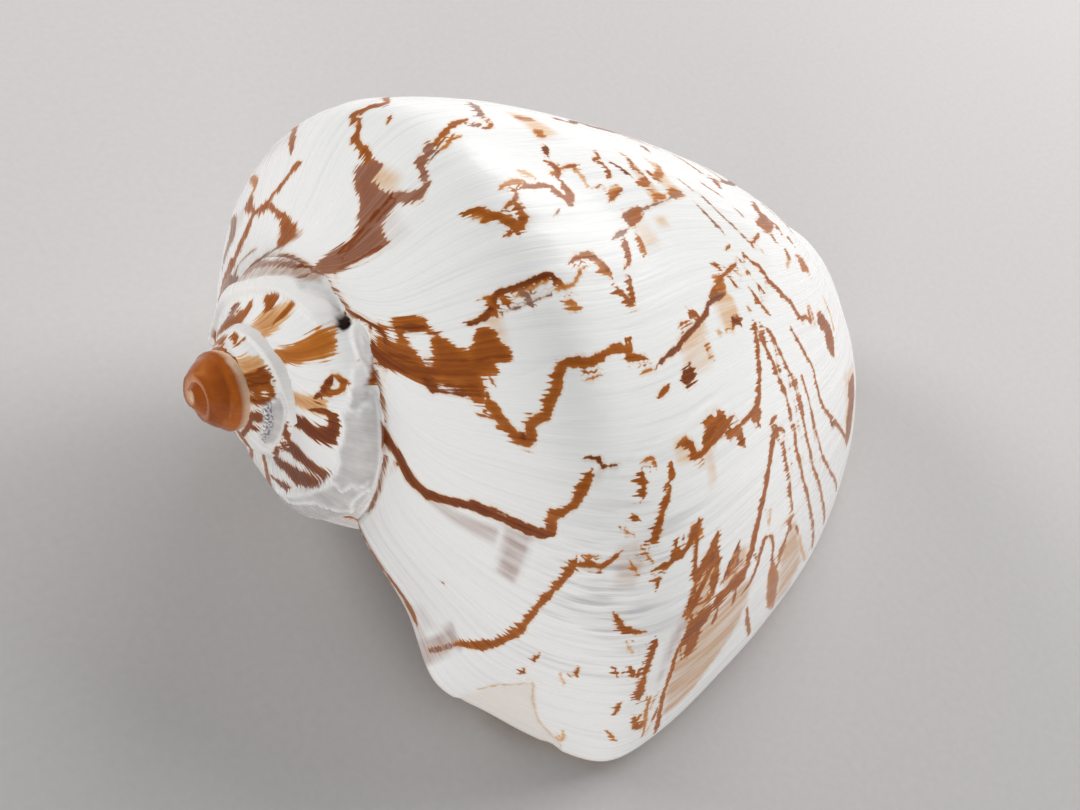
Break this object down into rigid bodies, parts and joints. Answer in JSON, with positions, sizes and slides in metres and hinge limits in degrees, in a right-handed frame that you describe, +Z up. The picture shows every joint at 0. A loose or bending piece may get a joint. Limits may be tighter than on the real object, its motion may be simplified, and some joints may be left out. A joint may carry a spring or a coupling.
{
  "type": "volute shell",
  "caption": "Large coiled sea snail shell with brown zigzag markings, a knobbed spire and a flared lip, lying aperture down.",
  "frame": {"origin": "centre of the bounding box's underside, on the surface the shell lies on", "axes": "+X runs along the shell's coiling axis in plan, from the apex of the spire to the front end with the siphonal notch; +Y points away from the flared lip; +Z up"},
  "size_m": [0.1412, 0.111, 0.0796],
  "materials": {
    "glazed_shell": null
  },
  "bodies": {
    "root": {"shell": "glazed_shell"}
  },
  "joints": []
}
